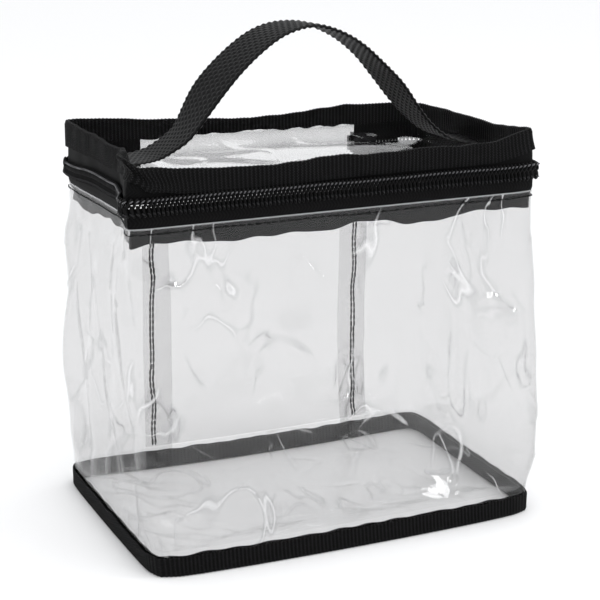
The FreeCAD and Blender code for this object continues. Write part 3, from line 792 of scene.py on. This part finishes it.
lid = rounded_sheet("lid_sheet", lid_level, (120, 84))
points = places(lid)
x, y = points[:, 0].copy(), points[:, 1].copy()
inside = smoothly(edge_distance(points), 0.5 * mm, 30 * mm)
under_handle = 1 - smoothly(np.abs(x), 44 * mm, 58 * mm)
sharp = ripple(x * 0.8, y, 48 * mm, 15)
rise = -3.4 * inside * (0.35 + 0.65 * under_handle)
rise += inside * under_handle * 0.7 * ripple(x, y, 50 * mm, 61)
rise -= 0.8 * inside * under_handle * np.exp(-((sharp / 0.08) ** 2))
points[:, 2] += np.minimum(rise, 0.0) * mm
move_to(lid, settle(points))
give_thickness(lid, vinyl_thick)
# tinted lighter than the wall's vinyl, which is the same sheet: painted light
lid_vinyl = vinyl_finish("clear_lid_vinyl", wrinkle=0.45, tint=(0.98, 0.98, 0.98))
finish_piece(lid, lid_vinyl, 80)
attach(lid, "lid")
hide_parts("lid_panel")

# %% [markdown]
# ## Ribbon folded over a rim
# The binding is one strip of grosgrain, folded lengthwise over the seam, so it shows outside,
# over the top and inside. The flat strip gets its cords first, as small waves across its
# width, then it is folded over the rim and sewn round.

# %% The folded ribbon
ribbon_reach = rim_top - lid_level
ribbon_thick = 0.5 * mm


steps_per_rib = 4


def fold_ribbon(name, run, upward, wobble, seed, reach):
    """A grosgrain strip folded over the top rim, or under the base, before it goes round."""
    bend = 1.0 * mm
    straight = reach - bend
    cut = 2 * straight + math.pi * bend
    ribs = round((run[1] - run[0]) / (rib_pitch * mm))
    piece = flat_strip(name, run, (0, cut), (ribs * steps_per_rib, 15))
    points = places(piece)
    along, wide = points[:, 0], points[:, 2]
    angle = np.clip((wide - straight) / bend, 0, math.pi)
    beyond = np.maximum(wide - straight - math.pi * bend, 0)
    below = np.minimum(wide - straight, 0)
    cord = 0.32 * mm * (0.5 + 0.5 * np.cos(math.tau * along / (rib_pitch * mm)))
    radius = bend + cord
    depth = bend - ribbon_thick - radius * np.cos(angle)
    level = below - beyond + radius * np.sin(angle)
    edge = smoothly(np.abs(wide - cut / 2), 4 * mm, cut / 2)
    level_line = 0 * along
    sway = ripple(along, level_line, 38 * mm, seed)
    sway = wobble * (sway + 0.4 * ripple(along, level_line, 13 * mm, seed + 1))
    depth += sway * 0.6 * (1 - edge) * mm
    level += sway * 0.45 * mm + edge * 0.25 * mm * ripple(along, wide, 9 * mm, seed + 2)
    depth -= edge * 0.12 * mm
    points[:, 1] = depth
    points[:, 2] = rim_top - bend + level if upward else bend - level
    move_to(piece, points)
    if not upward:
        turn_over(piece)
    return piece


def sew_ribbon(piece, body, node):
    """Takes a folded ribbon round the box and gives it its thickness and finish."""
    sew_round(piece)
    give_thickness(piece, ribbon_thick)
    finish_piece(piece, ribbon, 50)
    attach(piece, body)
    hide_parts(node)


# %% The two bindings
lid_ribbon = fold_ribbon("lid_ribbon", (-half_round, half_round), True, 0.8, 91, ribbon_reach)
sew_ribbon(lid_ribbon, "lid", "lid_binding")
base_reach = 7.6 * mm
base_ribbon = fold_ribbon("base_ribbon", (-half_round, half_round), False, 0.0, 71, base_reach)
sew_ribbon(base_ribbon, "bag", "base_binding")

# %% [markdown]
# ## The zip
# A nylon coil zip is two tapes with a flattened spiral sewn along each. The spirals' loops
# lock into each other at the middle. One loop is a squashed ring, modelled once and copied
# along the run; one stitch is a small stretched ball, copied the same way.

# %% Rows of small things
def row_of(name, model, spots, tilts=None):
    """One mesh that holds a copy of a small model at every spot of the flat roll."""
    small = places(model)
    faces = [tuple(f.vertices) for f in model.data.polygons]
    spots = np.asarray(spots, float)
    turned = [small] * len(spots)
    if tilts is not None:
        turned = [small @ np.array(Matrix.Rotation(t, 3, "Y")).T for t in tilts]
    points = np.concatenate([part + spot for part, spot in zip(turned, spots)])
    mesh = bpy.data.meshes.new(name)
    count = len(small)
    copies = [tuple(i + k * count for i in face) for k in range(len(spots)) for face in faces]
    mesh.from_pydata(points.tolist(), [], copies)
    piece = bpy.data.objects.new(name, mesh)
    scene.collection.objects.link(piece)
    return piece


def small_model(adder, scale, **settings):
    """A small model at the origin, from one of Blender's primitives, stretched to size."""
    bpy.ops.object.select_all(action="DESELECT")
    adder(**settings)
    model = bpy.context.object
    model.scale = scale
    bpy.ops.object.transform_apply(location=False, rotation=True, scale=True)
    return model


def put_away(model):
    """Removes a model that was only copied from."""
    bpy.data.objects.remove(model, do_unlink=True)


# %% Tapes
tape_thick = 0.4 * mm
tail_start = 49.4 * mm
tape_end = half_round - tail_start


def lower_tape():
    """The half of the tape on the wall, with its far edge hanging free behind the vinyl."""
    span = (chain - 15 * mm, chain - 0.7 * mm)
    piece = flat_strip("zip_tape_low", (-tape_end, tape_end), span, (420, 22))
    points = places(piece)
    run, z = points[:, 0], points[:, 2]
    loose = 1 - smoothly(z, wall_top - 5.5 * mm, wall_top - 1.0 * mm)
    left = 1 - smoothly(run, -front_half - arc, -front_half)
    hang = 1.6 + (1.1 + 0.6 * left) * ripple(run, 0 * run, 40 * mm, 17)
    hang += 0.4 * ripple(run, 0 * run, 15 * mm, 18)
    behind = 1 - smoothly(z, wall_top - 0.3 * mm, wall_top + 0.9 * mm)
    loose_depth = loose * (0.7 + 0.5 * ripple(run, z, 22 * mm, 19)) * mm
    points[:, 1] = behind * (sheet_thick + 0.12 * mm) + loose_depth
    points[:, 2] = z + loose * hang * mm
    move_to(piece, points)
    sew_round(piece)
    give_thickness(piece, tape_thick)
    finish_piece(piece, tape)
    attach(piece, "bag")
    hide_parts("zip_tape_lower")


def upper_tape(name, run, steps):
    """A stretch of the tape on the lid, up to where the ribbon hides it."""
    piece = flat_strip(name, run, (chain + 0.7 * mm, lid_level + 5.5 * mm), steps)
    points = places(piece)
    points[:, 1] = 0.12 * mm * ripple(points[:, 0], points[:, 2], 20 * mm, 29) + 0.12 * mm
    move_to(piece, points)
    sew_round(piece)
    give_thickness(piece, tape_thick)
    finish_piece(piece, tape)
    return piece


lower_tape()
tape_front = upper_tape("zip_tape_up", (-side_end, side_end), (330, 10))
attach(tape_front, "lid")
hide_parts("zip_tape_upper")


def bend_corner(piece, side):
    """Bakes the placing of a piece at a back corner into its points."""
    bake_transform(piece)


def bend_tail(piece):
    """Bakes the placing of a tail piece into its points."""
    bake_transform(piece)


def one_side(side, first, last):
    """A stretch of the run to the left or right, given from its near end to its far one."""
    return min(side * first, side * last), max(side * first, side * last)


for word, side in (("left", -1), ("right", 1)):
    part = upper_tape(f"zip_tape_corner_{word}", one_side(side, side_end, corner_run), (20, 16))
    bend_corner(part, side)
    part = upper_tape(f"zip_tape_tail_{word}", one_side(side, corner_run, tape_end), (20, 24))
    bend_tail(part)
    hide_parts(f"zip_tail_tape_{word}")

# %% The coils
coil_pitch = 1.6 * mm
coil_end = half_round - 51.3 * mm
wire_share = 0.3  # of the model loop's radius
loop = small_model(
    bpy.ops.mesh.primitive_torus_add, (1, 1, 1), align="WORLD", location=(0, 0, 0),
    rotation=(0, math.pi / 2, 0), major_segments=14, minor_segments=6, major_radius=1.0,
    minor_radius=wire_share,
)
ring = places(loop)
spread = np.maximum(np.hypot(ring[:, 1], ring[:, 2]), tiny)
centre = np.column_stack([0 * ring[:, 0], ring[:, 1] / spread, ring[:, 2] / spread])
round_wire = (ring - centre) / wire_share
wire = 0.40 * mm
lean, loop_height, loop_depth = 0.35 * mm, 1.72 * mm, 0.62 * mm
move_to(loop, np.column_stack([
    round_wire[:, 0] * wire + lean * centre[:, 2] * 0.5,
    centre[:, 1] * loop_depth + round_wire[:, 1] * wire * 0.95,
    centre[:, 2] * loop_height + round_wire[:, 2] * wire,
]))


def coil(name, run, upper):
    """A stretch of one coil: loops that reach a little past the middle of the zip."""
    first, last = math.ceil(run[0] / coil_pitch), math.floor(run[1] / coil_pitch)
    shift = 0.5 * coil_pitch if upper else 0.0
    rise = 1.35 * mm if upper else -1.35 * mm
    runs = [k * coil_pitch + shift for k in range(first, last + 1)]
    spots = [(along, -1.05 * mm, chain + rise) for along in runs if run[0] <= along <= run[1]]
    piece = row_of(name, loop, spots, [0.30 if upper else -0.30] * len(spots))
    sew_round(piece)
    finish_piece(piece, nylon, 80)
    return piece


part = coil("zip_coil_low", (-coil_end, coil_end), False)
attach(part, "bag")
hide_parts("zip_coil_lower", "zip_tail_coil_lower_left", "zip_tail_coil_lower_right")
part = coil("zip_coil_up", (-side_end, side_end), True)
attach(part, "lid")
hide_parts("zip_coil_upper")
for word, side in (("left", -1), ("right", 1)):
    part = coil(f"zip_coil_corner_{word}", one_side(side, side_end, corner_run), True)
    bend_corner(part, side)
    part = coil(f"zip_coil_tail_{word}", one_side(side, corner_run, coil_end), True)
    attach(part, "bag")
    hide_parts(f"zip_tail_coil_upper_{word}")
put_away(loop)

# %% [markdown]
# ## Stitches
# Every stitch is its own short length of thread that dips into the cloth at both ends. On
# the coils a thread crosses each loop, the upper row with painted sheen; on the vinyl a black one runs
# just under the sheet's cut edge; and two rows close each lap at the back.

# %% Stitches
def ball(scale, **settings):
    """A small ball stretched to size."""
    return small_model(
        bpy.ops.mesh.primitive_uv_sphere_add, scale, segments=8, ring_count=6, radius=1.0,
        location=(0, 0, 0), **settings,
    )


def stitch_model(length, width, proud):
    """One stitch: a ball stretched along the run."""
    return ball((width / 2, proud, length / 2), rotation=(0, math.pi / 2, 0))


def stitches(name, model, run, pitch, level, depth, finish, tilt=0.0):
    """A row of stitches along the run."""
    count = int((run[1] - run[0]) / pitch)
    runs = run[0] + (np.arange(count) + 0.5) * pitch
    wander = 0.12 * mm * ripple(runs, 0 * runs, 25 * mm, 5)
    spots = np.column_stack([runs, np.full(count, depth), level + wander])
    piece = row_of(name, model, spots, [tilt] * count)
    sew_round(piece)
    finish_piece(piece, finish, 80)
    return piece


coil_stitch = stitch_model(1.3 * mm, 0.5 * mm, 0.42 * mm)
coil_row, coil_stitch_depth = 2.3 * mm, -1.9 * mm  # from the chain's middle, and proud of the box
dim_thread = thread_finish("dim_thread", (0.008, 0.008, 0.009), (0.035, 0.035, 0.037), 0.5)
part = stitches(
    "coil_stitches_low", coil_stitch, (-coil_end, coil_end), coil_pitch,
    chain - coil_row, coil_stitch_depth, dim_thread, 0.6,
)
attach(part, "bag")
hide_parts("zip_coil_stitching_lower")
part = stitches(
    "coil_stitches_up", coil_stitch, (-side_end, side_end), coil_pitch,
    chain + coil_row, coil_stitch_depth, sheen_painted_thread, -0.7,
)
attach(part, "lid")
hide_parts("zip_coil_stitching_upper")
put_away(coil_stitch)
hidden_thread = thread_finish("hidden_thread", (0.002, 0.002, 0.0022), (0.008, 0.008, 0.009), 0.75)
wall_stitch = stitch_model(2.7 * mm, 0.62 * mm, 0.28 * mm)
wall_pitch = 3.1 * mm
part = stitches(
    "wall_stitches", wall_stitch, (-tape_end, tape_end), wall_pitch,
    wall_top - 2.2 * mm, -0.1 * mm, black_thread,
)
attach(part, "bag")
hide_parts("wall_topstitching")
for name, level, body, node in (
    ("lid_ribbon_stitches", lid_level + 2.0 * mm, "lid", "lid_binding_stitching"),
    ("base_ribbon_stitches", 5.8 * mm, "bag", "base_binding_stitching"),
):
    part = stitches(
        name, wall_stitch, (-half_round, half_round), wall_pitch,
        level, -0.5 * mm, hidden_thread,
    )
    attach(part, body)
    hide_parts(node)
put_away(wall_stitch)

# %% Back seams
seam_stitch = ball((0.5 * mm, 0.3 * mm, 1.65 * mm))
seam_low, seam_high, seam_pitch = 10.5 * mm, wall_top - 1.0 * mm, 2.9 * mm
seam_rows = (45.6 * mm, 44.3 * mm)  # from the middle of the back
for word, side, farther in (("left", -1, 0), ("right", 1, 6.0 * mm)):
    levels = np.arange(seam_low, seam_high, seam_pitch) + 1.5 * mm
    rows = []
    for offset in seam_rows:
        sway = 0.4 * mm * ripple(levels, 0 * levels + side, 24 * mm, 7)
        runs = side * (half_round - offset - farther) + sway
        rows.append(np.column_stack([runs, -crumple(np.abs(runs), levels) - 0.1 * mm, levels]))
    part = row_of(f"back_seam_{word}", seam_stitch, np.concatenate(rows))
    sew_round(part)
    finish_piece(part, black_thread, 80)
    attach(part, "bag")
    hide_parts(f"back_seam_thread_{word}")
put_away(seam_stitch)

# %% [markdown]
# ## The handle
# The handle is one length of webbing. Its ends lie flat on the lid, and the middle stands up
# in an arch that leans back a little and is slightly twisted. The flat strip is woven first,
# cord over cord, and then each of its rows is carried onto the arch's line.

# %% Woven strip carried onto the arch
web_wide, web_thick = 24 * mm, 1.5 * mm
handle_line = np.array([
    (-78, 1.0, 149.3), (-70, 1.0, 149.4), (-62, 0.5, 151.0), (-52.5, -2.0, 156.5),
    (-47.5, -3.5, 160.5), (-39.5, -5.0, 174.5), (-29.5, -4.0, 185.0), (-20, -2.5, 192.4),
    (-11, -0.5, 197.5), (0, 2.0, 199.7), (9.5, 4.0, 198.6), (18, 5.5, 195.5),
    (26.5, 7.0, 190.8), (34.5, 8.0, 184.0), (39.5, 8.0, 178.5), (44.5, 7.5, 172.8),
    (49, 6.5, 166.5), (55, 5.0, 158.5), (62, 3.0, 152.5), (70, 1.0, 149.6), (78, 0.0, 149.3),
]) * mm + np.array((1.4, 0, -0.9)) * mm


def smooth_line(knots, count):
    """A smooth line through knots, with its points evenly spaced, and its whole length."""
    for _ in range(4):
        doubled = np.empty((2 * len(knots) - 1, knots.shape[1]))
        doubled[0::2] = knots
        doubled[1::2] = (knots[:-1] + knots[1:]) / 2
        softer = doubled.copy()
        softer[1:-1] = 0.25 * doubled[:-2] + 0.5 * doubled[1:-1] + 0.25 * doubled[2:]
        knots = softer
    steps = np.concatenate([[0], np.cumsum(np.linalg.norm(np.diff(knots, axis=0), axis=1))])
    even = np.linspace(0, steps[-1], count)
    axes = [np.interp(even, steps, knots[:, k]) for k in range(knots.shape[1])]
    return np.column_stack(axes), steps[-1]


line, web_length = smooth_line(handle_line, 400)
print("webbing length", round(web_length, 4))
cords = 10
picks = round(web_length / (1.35 * mm))
span = (-web_wide / 2, web_wide / 2)
handle = flat_strip("handle_webbing", (0, web_length), span, (picks * 4, cords * 5))
points = places(handle)
along, wide = points[:, 0].copy(), points[:, 2].copy()
column = (wide + web_wide / 2) / (web_wide / cords)
row = along / (web_length / picks)
over = np.cos(math.pi * (row + np.floor(column)))
bulge = np.abs(np.sin(math.pi * column)) ** 0.7
height = 0.5 + 0.5 * over * bulge
# the weave's height, which the webbing finish turns into painted shade in the dips
tag = handle.data.attributes.new("weave_height", "FLOAT", "POINT")
tag.data.foreach_set("value", (0.25 + 0.75 * height * bulge).astype(np.float32))
edge = smoothly(np.abs(wide), web_wide / 2 - 1.0 * mm, web_wide / 2)
cord_rise, edge_drop = 0.5 * mm, 0.35 * mm
rise = cord_rise * height * bulge - edge_drop * edge
spot = np.clip(along / web_length, 0, 1) * (len(line) - 1)
k = np.clip(spot.astype(int), 0, len(line) - 2)
t = (spot - k)[:, None]
centre = line[k] * (1 - t) + line[k + 1] * t
way = np.gradient(line, axis=0)
way /= np.linalg.norm(way, axis=1)[:, None]
way = way[k] * (1 - t) + way[k + 1] * t
aloft = smoothly(centre[:, 2], 150 * mm, 180 * mm)
turn = 17 - 14 * smoothly(centre[:, 0], -5 * mm, 14 * mm)
turn += 9 * smoothly(centre[:, 0], 34 * mm, 52 * mm)
yaw = np.radians(turn) * aloft
broad = np.column_stack([-np.sin(yaw), np.cos(yaw), 0 * yaw])
broad -= way * np.sum(broad * way, axis=1)[:, None]
broad /= np.linalg.norm(broad, axis=1)[:, None]
up = np.cross(way, broad)
base = centre + broad * wide[:, None]
core = web_thick * 0.28  # from the middle of the strip to the weave's lowest dips
move_to(handle, base + up * (core + rise)[:, None])
under = handle.copy()
under.data = handle.data.copy()
scene.collection.objects.link(under)
drop = cord_rise * (1 - height) * bulge - edge_drop * edge
move_to(under, base - up * (core + drop)[:, None])
turn_over(under)
only(handle)
under.select_set(True)
bpy.ops.object.join()
bpy.ops.object.mode_set(mode="EDIT")
bpy.ops.mesh.select_all(action="DESELECT")
bpy.ops.mesh.select_mode(type="EDGE")
bpy.ops.mesh.select_non_manifold(
    extend=False, use_wire=False, use_boundary=True, use_multi_face=False,
    use_non_contiguous=False, use_verts=False,
)
bpy.ops.mesh.bridge_edge_loops()
bpy.ops.mesh.select_all(action="SELECT")
bpy.ops.mesh.normals_make_consistent(inside=False)
bpy.ops.object.mode_set(mode="OBJECT")
move_to(handle, settle(places(handle)))
finish_piece(handle, webbing, 70)
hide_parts("handle_strap", "handle_end_left", "handle_end_right")
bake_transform(handle)

# %% [markdown]
# ## The frame's own metal pieces
# The slider, its pull and the two zip stops keep the frame's true shapes, with a painted
# metal finish.

# %% Metal pieces
for node in ("slider_body", "puller_tab", "zip_stop_left", "zip_stop_right"):
    piece = frame["nodes"][node]
    if not piece.material_slots:
        piece.data.materials.append(metal)
    piece.material_slots[0].material = metal
    print(node, "finished")
